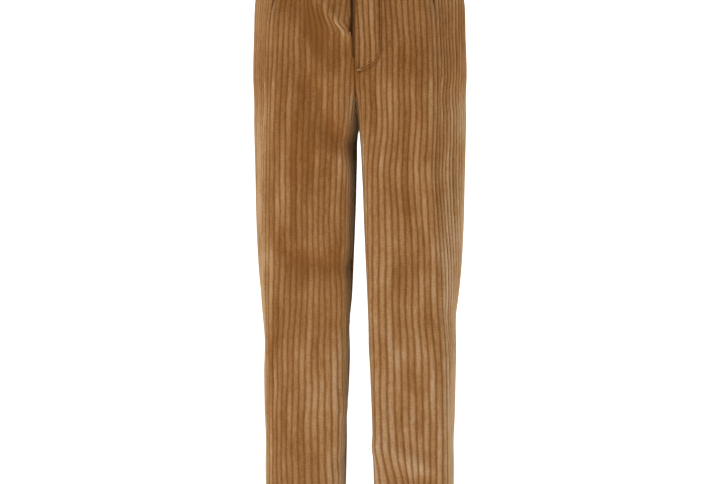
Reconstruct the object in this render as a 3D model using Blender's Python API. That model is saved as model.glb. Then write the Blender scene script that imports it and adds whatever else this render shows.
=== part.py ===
"""Relaxed fit jeans cut from wide-wale corduroy, in the form they have when worn.

Metres, +Z up. The front faces -Y and the wearer's left is +X. The origin is the
middle of the waist, halfway up the waistband. The cloth is a thin wall: its wales
are raised in the outer points over a plain inside.
"""
import math
from collections import namedtuple

import bmesh
import bpy
from mathutils import Vector

# ---- cloth ----
WALL = 0.0022               # plain inside to the bottom of a groove
WALE_PITCH = 0.0096         # groove to groove
WALE_RISE = 0.0014          # ridge above groove
SEAM_GAP = 0.0003           # between pieces that are sewn together
WALE_FADE = 0.004           # a seam presses the wales flat over this width
INSIDE_STEP = 0.0144        # column spacing on the plain inside

# ---- heights ----
BAND_TOP = 0.020
BAND_BOTTOM = -0.020
BLEND_TOP = -0.110          # below this the seat's sides turn into the legs' outer sides
FORK_TOP = -0.176           # below this the rise curve runs in under the body
CROTCH = -0.252
FORK_POWER = 2.5            # 2 makes the rise curve a quarter ellipse, more squares it off
HEM = -1.040
HEM_TURN = 0.035            # depth of the turned-up hem
HEM_WALL = 0.0046           # cloth and turned-up hem together

# ---- waistband ----
BAND_WALL = 0.0030
BAND_WALES = 4
BAND_STEP = 0.016           # spacing of its sections round the waist
BAND_LAP = 0.038            # the right end runs this far under the left end
BAND_RAMP = 0.030           # over this length the right end steps inward

# ---- fly ----
FLY_END = -0.165
FLY_SETBACK = 0.0032        # the right front's edge lies this far behind the fold
FLY_FOLD_WIDTH = 0.010
FLY_FOLD_LIFT = 0.0016      # the folded edge stands this proud
SHIELD_RIGHT = -0.009       # the shield reaches from this x
SHIELD_LEFT = 0.036         # to this x
SHIELD_WALL = 0.0018
SHIELD_SLACK = 0.0003       # it hangs this much freer of the fronts than a seam

# ---- pockets ----
MOUTH_END = -0.097
MOUTH_TOP = 0.016           # mouth's distance from the outseam at the waistband
FACING_ROWS = 4             # the facing ends on this level of the seat
FACING_UNDER_FRONT = 0.022
FACING_UNDER_BACK = 0.001
FACING_SLACK = 0.0006       # the facing hangs this much freer of the front than a seam
FACING_WALL = 0.0018

# ---- button ----
BUTTON_RADIUS = 0.0090
BUTTON_RIM = 0.0024
BUTTON_DISH = 0.0016
BUTTON_X = 0.018

# ---- seat, from the waistband to the crotch; seam_* is the outseam's distance from x = 0 ----
BodySection = namedtuple("BodySection", "z half_width front back seam_left seam_right")
BODY = (
    BodySection(+0.020, 0.1490, -0.1080, 0.1080, 0.1130, 0.1170),
    BodySection(-0.020, 0.1600, -0.1150, 0.1190, 0.1195, 0.1240),
    BodySection(-0.061, 0.1705, -0.1205, 0.1330, 0.1246, 0.1314),
    BodySection(-0.120, 0.1730, -0.1240, 0.1450, 0.1280, 0.1378),
    BodySection(-0.185, 0.1750, -0.1230, 0.1460, 0.1307, 0.1398),
    BodySection(-0.252, 0.1742, -0.1160, 0.1320, 0.1305, 0.1420),
)

# ---- legs, from the crotch to the hem; inner and outer are distances from x = 0 ----
LegSection = namedtuple("LegSection", "z inner outer front back seam_left seam_right")
LEG = (
    LegSection(-0.252, 0.0007, 0.1742, -0.1160, 0.1320, 0.1305, 0.1420),
    LegSection(-0.300, 0.0018, 0.1730, -0.1090, 0.1210, 0.1285, 0.1436),
    LegSection(-0.351, 0.0041, 0.1716, -0.1030, 0.1135, 0.1262, 0.1448),
    LegSection(-0.424, 0.0076, 0.1700, -0.0955, 0.1055, 0.1305, 0.1466),
    LegSection(-0.497, 0.0107, 0.1664, -0.0885, 0.0990, 0.1355, 0.1474),
    LegSection(-0.569, 0.0140, 0.1600, -0.0825, 0.0925, 0.1378, 0.1478),
    LegSection(-0.642, 0.0166, 0.1576, -0.0775, 0.0870, 0.1430, 0.1474),
    LegSection(-0.751, 0.0208, 0.1552, -0.0715, 0.0805, 0.1448, 0.1464),
    LegSection(-0.858, 0.0239, 0.1535, -0.0675, 0.0765, 0.1452, 0.1460),
    LegSection(-1.040, 0.0285, 0.1490, -0.0625, 0.0715, 0.1400, 0.1400),
)

# ---- outline of the seat: shares of the outseam's x, the half width and the depth ----
BodyCorner = namedtuple("BodyCorner", "place seam_share width_share depth_share")
BODY_CORNERS = (
    BodyCorner("middle front", 0.00, 0.00, -1.00),
    BodyCorner("front", 0.50, 0.00, -1.00),
    BodyCorner("front edge", 0.90, 0.00, -0.97),
    BodyCorner("outseam", 1.06, 0.00, -0.84),
    BodyCorner("side facet", 0.55, 0.45, -0.60),
    BodyCorner("side front", 0.00, 1.02, -0.36),
    BodyCorner("side back", 0.00, 1.03, 0.14),
    BodyCorner("back corner", 0.00, 0.90, 0.62),
    BodyCorner("seat", 0.00, 0.60, 0.94),
    BodyCorner("cheek", 0.00, 0.28, 1.02),
    BodyCorner("middle back", 0.00, 0.00, 0.985),
)

# ---- outline of a leg: shares of its half width, of the outseam's place in it and of its depth ----
LegCorner = namedtuple("LegCorner", "place across seam_share depth_share")
LEG_CORNERS = (
    LegCorner("inseam", -1.03, 0.00, 0.02),
    LegCorner("inner front", -1.02, 0.00, -0.58),
    LegCorner("inner front corner", -0.92, 0.00, -0.95),
    LegCorner("front inner", -0.46, 0.00, -1.02),
    LegCorner("front outer", 0.00, 0.45, -1.00),
    LegCorner("front edge", 0.00, 0.88, -0.96),
    LegCorner("outseam", 0.04, 1.00, -0.82),
    LegCorner("side front", 1.00, 0.00, -0.36),
    LegCorner("side back", 1.03, 0.00, 0.14),
    LegCorner("back corner", 0.88, 0.00, 0.64),
    LegCorner("back outer", 0.42, 0.00, 0.98),
    LegCorner("back inner", -0.28, 0.00, 1.03),
    LegCorner("inner back corner", -0.82, 0.00, 0.76),
    LegCorner("inner back", -1.02, 0.00, 0.38),
)

# ---- largest folds: soft troughs between two points of the front or back, in x and z ----
Fold = namedtuple("Fold", "name side part x_start z_start x_end z_end width depth")
FOLDS = (
    Fold("drag from hip", "right", "front", -0.110, -0.100, -0.084, -0.215, 0.026, 0.0030),
    Fold("drag under seat", "right", "front", -0.084, -0.215, -0.040, -0.285, 0.024, 0.0034),
    Fold("drag to inseam", "right", "front", -0.040, -0.285, -0.018, -0.345, 0.016, 0.0032),
    Fold("drag at fly", "right", "front", -0.084, -0.030, -0.040, -0.125, 0.015, 0.0030),
    Fold("knee slack", "right", "front", -0.100, -0.500, -0.035, -0.515, 0.045, 0.0024),
    Fold("calf slack", "left", "front", 0.050, -0.840, 0.120, -0.850, 0.040, 0.0022),
    Fold("under seat", "left", "back", 0.140, -0.235, 0.030, -0.285, 0.030, 0.0040),
    Fold("under seat", "right", "back", -0.132, -0.245, -0.030, -0.282, 0.034, 0.0036),
    Fold("behind knee", "left", "back", 0.130, -0.600, 0.040, -0.625, 0.045, 0.0034),
    Fold("behind knee", "right", "back", -0.130, -0.625, -0.045, -0.610, 0.045, 0.0030),
)

# ---- rows of the cloth ----
SEAT_ROWS = (BAND_BOTTOM - SEAM_GAP, -0.060, MOUTH_END, -0.135, FLY_END, FORK_TOP)
FORK_STEPS = 7
LEG_ROWS = (-0.285, -0.351, -0.424, -0.520, -0.620, -0.740, -0.870)
HEM_ROWS = (HEM + HEM_TURN + 0.003, HEM + HEM_TURN, HEM)
OUTLINE_SAMPLES = 44
SPLINE_STEPS = 12
SIDES = {"left": 1, "right": -1}

Row = namedtuple("Row", "z front back closed")


# ---------------------------------------------------------------- sections

def read(table, z, column):
    """A column of a table at height z, joined by a smooth curve."""
    rows = sorted(table, key=lambda row: row.z)
    z = min(max(z, rows[0].z), rows[-1].z)
    spot = max(k for k in range(len(rows) - 1) if rows[k].z <= z)
    low, high = rows[spot], rows[spot + 1]
    before = rows[max(spot - 1, 0)]
    after = rows[min(spot + 2, len(rows) - 1)]

    def slope(a, b):
        return (getattr(b, column) - getattr(a, column)) / (b.z - a.z)

    span = high.z - low.z
    t = (z - low.z) / span
    start = slope(before, high) * span
    end = slope(low, after) * span
    a, b = getattr(low, column), getattr(high, column)
    return ((2 * t**3 - 3 * t**2 + 1) * a + (t**3 - 2 * t**2 + t) * start
            + (3 * t**2 - 2 * t**3) * b + (t**3 - t**2) * end)


def rounded(corners, closed):
    """Points of a cubic B-spline round a polygon of (x, y) corners."""
    count = len(corners)
    spans = count if closed else count - 1
    points = []
    for k in range(spans):
        near = [corners[(k + step) % count] for step in (-1, 0, 1, 2)]
        if not closed:
            if k == 0:
                near[0] = (-corners[1][0], corners[1][1])
            if k == count - 2:
                near[3] = (-corners[-2][0], corners[-2][1])
        for step in range(SPLINE_STEPS):
            t = step / SPLINE_STEPS
            weights = ((1 - t)**3, 3 * t**3 - 6 * t**2 + 4,
                       -3 * t**3 + 3 * t**2 + 3 * t + 1, t**3)
            x = sum(w * p[0] for w, p in zip(weights, near)) / 6
            y = sum(w * p[1] for w, p in zip(weights, near)) / 6
            points.append((x, y))
    if not closed:
        points.append((0.0, (2 * corners[-2][1] + 4 * corners[-1][1]) / 6))
    return points


def fitted(points, low_x, high_x, low_y, high_y):
    """The points stretched to fill a rectangle."""
    xs = [p[0] for p in points]
    ys = [p[1] for p in points]
    wide = (high_x - low_x) / (max(xs) - min(xs))
    deep = (high_y - low_y) / (max(ys) - min(ys))
    return [(low_x + (x - min(xs)) * wide, low_y + (y - min(ys)) * deep) for x, y in points]


def resampled(points, count):
    """The polyline at equal steps of its length."""
    marks = [0.0]
    for a, b in zip(points, points[1:]):
        marks.append(marks[-1] + math.dist(a, b))
    result = []
    spot = 0
    for k in range(count + 1):
        want = marks[-1] * k / count
        while spot < len(marks) - 2 and marks[spot + 1] < want:
            spot += 1
        t = (want - marks[spot]) / (marks[spot + 1] - marks[spot])
        a, b = points[spot], points[spot + 1]
        result.append((a[0] + (b[0] - a[0]) * t, a[1] + (b[1] - a[1]) * t))
    return result


def split_at_seam(points, seam):
    """Front and back polylines, each from the outseam to its far end."""
    for k in range(1, len(points)):
        a, b = points[k - 1], points[k]
        if a[0] < seam <= b[0]:
            t = (seam - a[0]) / (b[0] - a[0])
            middle = (seam, a[1] + (b[1] - a[1]) * t)
            front = [middle] + points[:k][::-1]
            back = [middle] + points[k:]
            return resampled(front, OUTLINE_SAMPLES), resampled(back, OUTLINE_SAMPLES)
    raise ValueError("the outseam lies outside the outline")


def body_halves(side, z):
    """The seat's front and back polylines at height z, on the +X side."""
    half = read(BODY, z, "half_width") - WALE_RISE
    front = read(BODY, z, "front") + WALE_RISE
    back = read(BODY, z, "back") - WALE_RISE
    seam = read(BODY, z, "seam_" + side)
    corners = []
    for corner in BODY_CORNERS:
        depth = -front if corner.depth_share < 0 else back
        across = corner.seam_share * seam + corner.width_share * half
        corners.append((across, corner.depth_share * depth))
    outline = fitted(rounded(corners, closed=False), 0.0, half, front, back)
    return split_at_seam(outline, seam)


def leg_halves(side, z, table):
    """A leg's front and back polylines, as wide and deep as a table says, on the +X side."""
    inner = read(LEG, z, "inner")
    outer = read(table, z, "outer" if table is LEG else "half_width") - WALE_RISE
    front = read(table, z, "front") + WALE_RISE
    back = read(table, z, "back") - WALE_RISE
    seam = read(table, z, "seam_" + side)
    middle = (inner + outer) / 2
    half = (outer - inner) / 2
    seam_place = (seam - middle) / half
    corners = []
    for corner in LEG_CORNERS:
        depth = -front if corner.depth_share < 0 else back
        across = corner.across + corner.seam_share * seam_place
        corners.append((middle + across * half, corner.depth_share * depth))
    outline = fitted(rounded(corners, closed=True), inner, outer, front, back)
    outline.append(outline[0])
    return split_at_seam(outline, seam)


def make_row(side, z):
    """One level of the garment."""
    if z <= CROTCH:
        return Row(z, *leg_halves(side, z, LEG), True)
    seat = body_halves(side, z)
    if z >= BLEND_TOP:
        return Row(z, *seat, False)
    legs = [cut_at_rise(line, rise_share(z)) for line in leg_halves(side, z, BODY)]
    share = smooth((BLEND_TOP - z) / (BLEND_TOP - CROTCH))
    return Row(z, *[mixed(a, b, share) for a, b in zip(seat, legs)], False)


def rise_share(z):
    """How far the rise curve has run in from the front or back to the inseam at height z."""
    down = min(max((FORK_TOP - z) / (FORK_TOP - CROTCH), 0.0), 1.0)
    return 1 - (1 - down ** FORK_POWER) ** (1 / FORK_POWER)


def cut_at_rise(line, share):
    """A leg's line from the outseam, ended where the rise curve cuts it and brought to x = 0."""
    deepest = max(range(len(line)), key=lambda k: abs(line[k][1]))
    far = line[deepest][1]
    goal = far + (line[-1][1] - far) * share
    spot = deepest
    while spot < len(line) - 2 and abs(line[spot + 1][1]) > abs(goal):
        spot += 1
    a, b = line[spot], line[spot + 1]
    t = min(max((goal - a[1]) / (b[1] - a[1]), 0.0), 1.0)
    end = a[0] + (b[0] - a[0]) * t
    seam = line[0][0]
    inner = [(seam - (seam - x) * seam / (seam - end) if x < seam else x, y)
             for x, y in line[:spot + 1] + [(end, goal)]]
    return resampled(inner, OUTLINE_SAMPLES)


def mixed(seat, leg, share):
    """Seat and leg polylines blended."""
    points = [(a[0] + (b[0] - a[0]) * share, a[1] + (b[1] - a[1]) * share)
              for a, b in zip(seat, leg)]
    return resampled(points, OUTLINE_SAMPLES)


def fork_heights():
    """Heights along the rise curve, closer together where it runs in under the body."""
    turns = [math.pi / 2 * step / FORK_STEPS for step in range(1, FORK_STEPS)]
    drop = CROTCH - FORK_TOP
    return [FORK_TOP + drop * math.sin(turn) ** (2 / FORK_POWER) for turn in turns] + [CROTCH]


def garment_rows(side):
    """All levels, from the waistband seam to the hem."""
    heights = list(SEAT_ROWS) + fork_heights() + list(LEG_ROWS + HEM_ROWS)
    return [make_row(side, z) for z in heights]


# ---------------------------------------------------------------- a cloth surface

class Cloth:
    """The front or back of one side: a point for each level and distance from the outseam."""

    def __init__(self, side, part):
        self.side = side
        self.sign = SIDES[side]
        self.part = part
        self.rows = garment_rows(side)
        self.lines = [getattr(row, part) for row in self.rows]
        self.other = [row.back if part == "front" else row.front for row in self.rows]

    def length(self, level):
        return line_length(self.lines[level])

    def at(self, level, distance):
        """The point of a level that lies this far from the outseam, on the +X side."""
        row = self.rows[level]
        total = self.length(level)
        if distance < 0:
            x, y = walk(self.other[level], -distance)
        elif distance <= total:
            x, y = walk(self.lines[level], distance)
        elif row.closed:
            x, y = walk(self.other[level], line_length(self.other[level]) - (distance - total))
        else:
            x, y = walk(self.lines[level], 2 * total - distance)
            x = -x
        return Vector((x, y, row.z))

    def normal(self, level, distance, edge):
        """Outward direction. edge is None inside, or 'out' or 'in' on a seam that is shared."""
        last = len(self.rows) - 1
        above, below = max(level - 1, 0), min(level + 1, last)
        reach = 0.003
        across = self.at(level, distance + reach) - self.at(level, distance - reach)
        if edge == "out":
            down = self.at(below, 0.0) - self.at(above, 0.0)
        elif edge == "in":
            if self.rows[level].closed and not self.rows[above].closed:
                return Vector((-1.0, 0.0, -1.0)).normalized()
            down = self.at(below, self.length(below)) - self.at(above, self.length(above))
        else:
            down = (self.at(below, min(distance, self.length(below)))
                    - self.at(above, min(distance, self.length(above))))
        if level in (0, last):
            down = Vector((0.0, 0.0, -1.0))
        outward = down.cross(across) if self.part == "back" else across.cross(down)
        return outward.normalized()

    def placed(self, level, distance, lift, edge=None):
        """A point lifted off the surface, on its own side and clear of the other leg."""
        point = self.at(level, distance)
        lift -= fold_depth(self.side, self.part, point.x * self.sign, point.z)
        point += self.normal(level, distance, edge) * lift
        point.x = max(point.x, SEAM_GAP / 2) * self.sign
        return point


def line_length(line):
    return sum(math.dist(a, b) for a, b in zip(line, line[1:]))


def walk(line, distance):
    """The point this far along a polyline of equal steps."""
    step = line_length(line) / (len(line) - 1)
    spot = min(max(int(distance / step), 0), len(line) - 2)
    t = distance / step - spot
    a, b = line[spot], line[spot + 1]
    return a[0] + (b[0] - a[0]) * t, a[1] + (b[1] - a[1]) * t


def smooth(t):
    t = min(max(t, 0.0), 1.0)
    return t * t * (3 - 2 * t)


def fold_depth(side, part, x, z):
    """How far the folds press the cloth in at a place."""
    depth = 0.0
    for fold in FOLDS:
        if (fold.side, fold.part) != (side, part):
            continue
        run = (fold.x_end - fold.x_start, fold.z_end - fold.z_start)
        length = math.hypot(*run)
        off = (x - fold.x_start, z - fold.z_start)
        along = (off[0] * run[0] + off[1] * run[1]) / length
        across = (off[0] * run[1] - off[1] * run[0]) / length
        past = max(-along, along - length, 0.0)
        away = math.hypot(across, past) / fold.width
        depth = max(depth, fold.depth * math.exp(-away * away))
    return depth


# ---------------------------------------------------------------- panels

def mouth_offset(z):
    """How far the pocket mouth has cut the front back from the outseam."""
    return MOUTH_TOP * smooth((z - MOUTH_END) / (BAND_BOTTOM - MOUTH_END))


def panel_ends(cloth, level):
    """The panel's first and last distance from the outseam on a level."""
    z = cloth.rows[level].z
    start = SEAM_GAP / 2
    end = cloth.length(level)
    if cloth.rows[level].closed:
        end -= SEAM_GAP / 2
    if cloth.part == "front":
        start += mouth_offset(z)
        if cloth.side == "right" and z >= FLY_END:
            end -= FLY_SETBACK
    return start, end


def relief(cloth, level, distance, start, end):
    """Height of the outer points above the bottom of the grooves."""
    ridge = WALE_RISE * abs(math.sin(math.pi * distance / WALE_PITCH))
    fade = smooth(min(distance - start, end - distance) / WALE_FADE)
    lift = ridge * fade
    if cloth.part == "front" and cloth.side == "left" and cloth.rows[level].z >= FLY_END:
        lift += FLY_FOLD_LIFT * smooth(1 - (end - distance) / FLY_FOLD_WIDTH)
    return lift


def columns(start, end, step):
    """Whole multiples of a step between two ends, and the ends themselves."""
    first = math.ceil((start + step * 0.3) / step)
    last = math.floor((end - step * 0.3) / step)
    return [start] + [step * k for k in range(first, last + 1)] + [end]


def edge_kind(distance, start, end, cloth, level):
    """Which shared seam a point is on, if any."""
    if distance == start and start < 2 * SEAM_GAP:
        return "out"
    if distance == end and cloth.length(level) - end < 2 * SEAM_GAP:
        return "in"
    return None


def stitch(bm, first, second):
    """Fill between two rows of (station, vertex) whose stations need not match."""
    i = j = 0
    while i < len(first) - 1 or j < len(second) - 1:
        next_i = first[i + 1][0] if i < len(first) - 1 else math.inf
        next_j = second[j + 1][0] if j < len(second) - 1 else math.inf
        corners = [first[i][1], second[j][1]]
        if next_j <= next_i + SEAM_GAP / 100:
            j += 1
            corners.append(second[j][1])
        if next_i <= next_j + SEAM_GAP / 100:
            i += 1
            corners.append(first[i][1])
        bm.faces.new(corners)


def closed_wall(bm, outside, inside):
    """Join an outer and an inner sheet, each a list of rows, into one closed wall."""
    for sheet in (outside, inside):
        for upper, lower in zip(sheet, sheet[1:]):
            stitch(bm, upper, lower)
    for level in (0, -1):
        stitch(bm, outside[level], inside[level])
    for end in (0, -1):
        outer_edge = [(k, row[end][1]) for k, row in enumerate(outside)]
        inner_edge = [(k, row[end][1]) for k, row in enumerate(inside)]
        stitch(bm, outer_edge, inner_edge)
    bmesh.ops.recalc_face_normals(bm, faces=bm.faces)


def make_panel(name, side, part, material):
    """A front or back: wales on the outside, plain inside, thicker at the turned-up hem."""
    cloth = Cloth(side, part)
    bm = bmesh.new()
    outside, inside = [], []
    for level, row in enumerate(cloth.rows):
        start, end = panel_ends(cloth, level)
        outer_row = []
        for distance in columns(start, end, WALE_PITCH / 2):
            lift = relief(cloth, level, distance, start, end)
            edge = edge_kind(distance, start, end, cloth, level)
            spot = cloth.placed(level, distance, lift, edge)
            outer_row.append((distance, bm.verts.new(spot)))
        depth = HEM_WALL if row.z <= HEM + HEM_TURN else WALL
        inner_row = []
        for distance in columns(start, end, INSIDE_STEP):
            edge = edge_kind(distance, start, end, cloth, level)
            spot = cloth.placed(level, distance, -depth, edge)
            inner_row.append((distance, bm.verts.new(spot)))
        outside.append(outer_row)
        inside.append(inner_row)
    closed_wall(bm, outside, inside)
    return make_object(name, bm, material)


def make_strip(name, cloth, levels, starts, ends, depth, wall, step, material):
    """A plain strip that lies behind a panel, made from the panel's points moved in."""
    bm = bmesh.new()
    sheets = []
    for lift in (-depth, -depth - wall):
        sheet = []
        for level, start, end in zip(levels, starts, ends):
            row = []
            for distance in columns(start, end, step):
                row.append((distance, bm.verts.new(cloth.placed(level, distance, lift))))
            sheet.append(row)
        sheets.append(sheet)
    closed_wall(bm, *sheets)
    return make_object(name, bm, material)


# ---------------------------------------------------------------- small pieces

def make_pocket_facing(side, material):
    """The cloth seen in the pocket mouth: it runs on under the front and under the back."""
    heights = SEAT_ROWS[:FACING_ROWS]
    cloth = Cloth(side, "front")
    starts = [-FACING_UNDER_BACK] * len(heights)
    ends = [mouth_offset(z) + FACING_UNDER_FRONT for z in heights]
    depth = WALL + SEAM_GAP + FACING_SLACK
    return make_strip("pocket_facing_" + side, cloth, range(len(heights)), starts, ends,
                      depth, FACING_WALL, WALE_PITCH / 2, material)


def make_fly_shield(material):
    """A strip behind the fly opening, from the right front's edge to under the left front."""
    heights = SEAT_ROWS
    cloth = Cloth("left", "front")
    rise = [cloth.length(level) for level in range(len(heights))]
    starts = [-SHIELD_LEFT] * len(heights)
    ends = [-SHIELD_RIGHT] * len(heights)
    depth = WALL + SEAM_GAP + SHIELD_SLACK
    bm = bmesh.new()
    sheets = []
    for lift in (-depth, -depth - SHIELD_WALL):
        sheet = []
        for level, start, end in zip(range(len(heights)), starts, ends):
            row = []
            for past in columns(start, end, WALE_PITCH):
                point = cloth.at(level, rise[level] + past)
                point += cloth.normal(level, rise[level] + past, None) * lift
                row.append((past, bm.verts.new(point)))
            sheet.append(row)
        sheets.append(sheet)
    closed_wall(bm, *sheets)
    return make_object("fly_shield", bm, material)


def waist_path(z):
    """Points once round the waist at height z, from the front's middle over the wearer's left."""
    ring = []
    for side in SIDES:
        front, back = body_halves(side, z)
        half = front[::-1] + back[1:]
        half = [(x * SIDES[side], y) for x, y in half]
        ring += half if side == "left" else half[::-1][1:]
    return ring


def make_waistband(material):
    """A band once round the waist whose right end runs on under its left end."""
    heights = [BAND_BOTTOM + (BAND_TOP - BAND_BOTTOM) * k / (2 * BAND_WALES)
               for k in range(2 * BAND_WALES + 1)]
    round_waist = line_length(waist_path(0.0))
    full = round_waist + BAND_LAP
    stations = math.ceil(full / BAND_STEP)
    step_in = BAND_WALL + WALE_RISE + SEAM_GAP
    profile = [(z, WALE_RISE * (k % 2)) for k, z in enumerate(heights)]
    profile += [(BAND_TOP, -BAND_WALL), (BAND_BOTTOM, -BAND_WALL)]
    bm = bmesh.new()
    bmesh.ops.create_grid(bm, x_segments=stations, y_segments=len(profile), size=1.0)
    bm.verts.ensure_lookup_table()
    across = stations + 1
    paths = {z: waist_path(z) for z in heights}
    for number, vert in enumerate(bm.verts):
        column, place = number % across, (number // across) % len(profile)
        z, lift = profile[place]
        path = paths[z]
        length = line_length(path)
        distance = full * column / stations
        inward = step_in * smooth((distance - round_waist + BAND_RAMP) / BAND_RAMP)
        scale = length / round_waist
        vert.co = band_point(path, length, distance * scale, z, lift - inward)
    bmesh.ops.remove_doubles(bm, verts=bm.verts, dist=SEAM_GAP / 10)
    ends = [edge for edge in bm.edges if edge.is_boundary]
    bmesh.ops.holes_fill(bm, edges=ends, sides=0)
    bmesh.ops.recalc_face_normals(bm, faces=bm.faces)
    return make_object("waistband", bm, material)


def band_point(path, length, distance, z, lift):
    """A point of the band this far round the waist, lifted outward."""
    reach = 0.004
    here = loop_point(path, length, distance)
    ahead = loop_point(path, length, distance + reach)
    behind = loop_point(path, length, distance - reach)
    along = Vector((ahead[0] - behind[0], ahead[1] - behind[1], 0.0)).normalized()
    outward = Vector((along.y, -along.x, 0.0))
    return Vector((here[0], here[1], z)) + outward * lift


def loop_point(path, length, distance):
    """The point this far along a closed polyline."""
    distance %= length
    for a, b in zip(path, path[1:]):
        span = math.dist(a, b)
        if distance <= span:
            t = distance / span
            return a[0] + (b[0] - a[0]) * t, a[1] + (b[1] - a[1]) * t
        distance -= span
    return path[-1]


def make_button(material):
    """A dished button on the lapped end of the waistband, square to the band's slope."""
    top, bottom = read(BODY, BAND_TOP, "front"), read(BODY, BAND_BOTTOM, "front")
    outward = Vector((0.0, BAND_BOTTOM - BAND_TOP, top - bottom)).normalized()
    seat = Vector((BUTTON_X, (top + bottom) / 2, 0.0)) + outward * SEAM_GAP
    profile = ((0.0, 0.0), (BUTTON_RADIUS * 0.92, 0.0), (BUTTON_RADIUS, BUTTON_RIM * 0.35),
               (BUTTON_RADIUS, BUTTON_RIM * 0.75), (BUTTON_RADIUS * 0.9, BUTTON_RIM),
               (BUTTON_RADIUS * 0.7, BUTTON_DISH), (0.0, BUTTON_DISH))
    across = Vector((1.0, 0.0, 0.0))
    bm = bmesh.new()
    verts = [bm.verts.new(seat + across * radius + outward * height)
             for radius, height in profile]
    edges = [bm.edges.new(pair) for pair in zip(verts, verts[1:])]
    bmesh.ops.spin(bm, geom=verts + edges, cent=seat, axis=outward,
                   angle=math.tau, steps=24, use_merge=True)
    bmesh.ops.remove_doubles(bm, verts=bm.verts, dist=SEAM_GAP / 10)
    bmesh.ops.recalc_face_normals(bm, faces=bm.faces)
    return make_object("waist_button", bm, material)


# ---------------------------------------------------------------- objects

def make_material(name, color, roughness, metallic=0.0):
    material = bpy.data.materials.new(name)
    material.use_nodes = True
    shader = material.node_tree.nodes["Principled BSDF"]
    shader.inputs["Base Color"].default_value = (*color, 1.0)
    shader.inputs["Roughness"].default_value = roughness
    shader.inputs["Metallic"].default_value = metallic
    return material


def make_object(name, bm, material):
    mesh = bpy.data.meshes.new(name)
    bm.to_mesh(mesh)
    bm.free()
    mesh.materials.append(material)
    piece = bpy.data.objects.new(name, mesh)
    bpy.data.collections["relaxed_fit_jeans"].objects.link(piece)
    return piece


def main():
    for old in list(bpy.data.objects):
        bpy.data.objects.remove(old)
    jeans = bpy.data.collections.new("relaxed_fit_jeans")
    bpy.context.scene.collection.children.link(jeans)

    tan = (0.33, 0.17, 0.07)
    for part in ("front", "back"):
        for side in SIDES:
            name = part + "_" + side
            make_panel(name, side, part, make_material(name, tan, 0.9))
    for side in SIDES:
        name = "pocket_facing_" + side
        make_pocket_facing(side, make_material(name, (0.24, 0.12, 0.05), 0.9))
    make_fly_shield(make_material("fly_shield", (0.12, 0.05, 0.02), 0.9))
    make_waistband(make_material("waistband", tan, 0.9))
    make_button(make_material("waist_button", (0.10, 0.05, 0.02), 0.4))


main()
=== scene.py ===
import math
from collections import namedtuple

import bmesh
import bpy
import numpy as np
from mathutils import Matrix, Vector


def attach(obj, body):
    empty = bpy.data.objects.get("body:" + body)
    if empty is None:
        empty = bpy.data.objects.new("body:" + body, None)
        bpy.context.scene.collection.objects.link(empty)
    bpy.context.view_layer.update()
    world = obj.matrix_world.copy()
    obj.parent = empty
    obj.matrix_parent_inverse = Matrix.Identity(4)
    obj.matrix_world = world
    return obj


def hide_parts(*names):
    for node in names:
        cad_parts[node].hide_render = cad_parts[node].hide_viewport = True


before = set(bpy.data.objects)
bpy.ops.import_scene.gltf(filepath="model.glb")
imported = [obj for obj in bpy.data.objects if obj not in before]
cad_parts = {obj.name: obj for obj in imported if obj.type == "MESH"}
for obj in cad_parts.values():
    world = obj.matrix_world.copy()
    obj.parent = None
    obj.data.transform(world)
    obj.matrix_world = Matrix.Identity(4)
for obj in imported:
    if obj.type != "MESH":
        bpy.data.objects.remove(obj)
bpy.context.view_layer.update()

# ---------------------------------------------------------------- sizes of the jeans, in metres

WALL = 0.0022
WALE_RISE = 0.0014
SEAM_GAP = 0.0003
WALE_PITCH = 0.0096
# height of a wale over its groove; the pile is pressed flatter on the right front
WALE_SHOWN = {"left front": 0.0015, "right front": 0.0010,
              "left back": 0.0028, "right back": 0.0025}
STITCH_SHADE = 950.0        # painted shade along the stitched J, where the stitches press the cloth in
SEAM_SHADE = 1.8            # painted shade along a seam
SEAM_SHADE_WIDTH = 0.0024
WALE_FADE = 0.004
BAND_TOP = 0.020
BAND_BOTTOM = -0.020
BLEND_TOP = -0.110
FORK_TOP = -0.176
CROTCH = -0.252
FORK_POWER = 2.5
HEM = -1.040
HEM_TURN = 0.035
HEM_WALL = 0.0046
BAND_WALL = 0.0030
BAND_WALES = 4
BAND_LAP = 0.038
BAND_RAMP = 0.030
FLY_END = -0.165
FLY_SETBACK = 0.0032
FLY_FOLD_WIDTH = 0.010
FLY_FOLD_LIFT = 0.0030
FLY_FOLD_RUN_OUT = 0.030
SHIELD_RIGHT = -0.009
SHIELD_LEFT = 0.036
SHIELD_WALL = 0.0018
SHIELD_SLACK = 0.0003
MOUTH_END = -0.097
MOUTH_TOP = 0.016
FACING_END = -0.135
FACING_EDGE = -0.001
FACING_UNDER_FRONT = 0.022
FACING_SLACK = 0.0006
FACING_WALL = 0.0018
BUTTON_RADIUS = 0.0090
BUTTON_RIM = 0.0024
BUTTON_DISH = 0.0015
BUTTON_X = 0.018
BUTTON_HOLE_STEP = 0.0019
BUTTONHOLE_START = 0.007
BUTTONHOLE_LENGTH = 0.026
BUTTONHOLE_STITCHES = 44
CALM_BY_END = 0.006         # creases die away before a panel's edges
CALM_BY_START = 0.010
CALM_BY_BAND = 0.030
BAND_COLUMNS = 380
BAND_UNEVEN = 0.0004

WALE_STEPS = 8              # columns of the mesh in each wale
ROW_STEP = 0.008            # height of the mesh's rows
FINE_STEP = 0.004           # and of the fronts' rows beside the fly and the rise
FINE_TOP = -0.048
FINE_BOTTOM = -0.300
FORK_STEPS = 14
OUTLINE_SAMPLES = 44
SPLINE_STEPS = 12
SIDES = {"left": 1, "right": -1}


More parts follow.
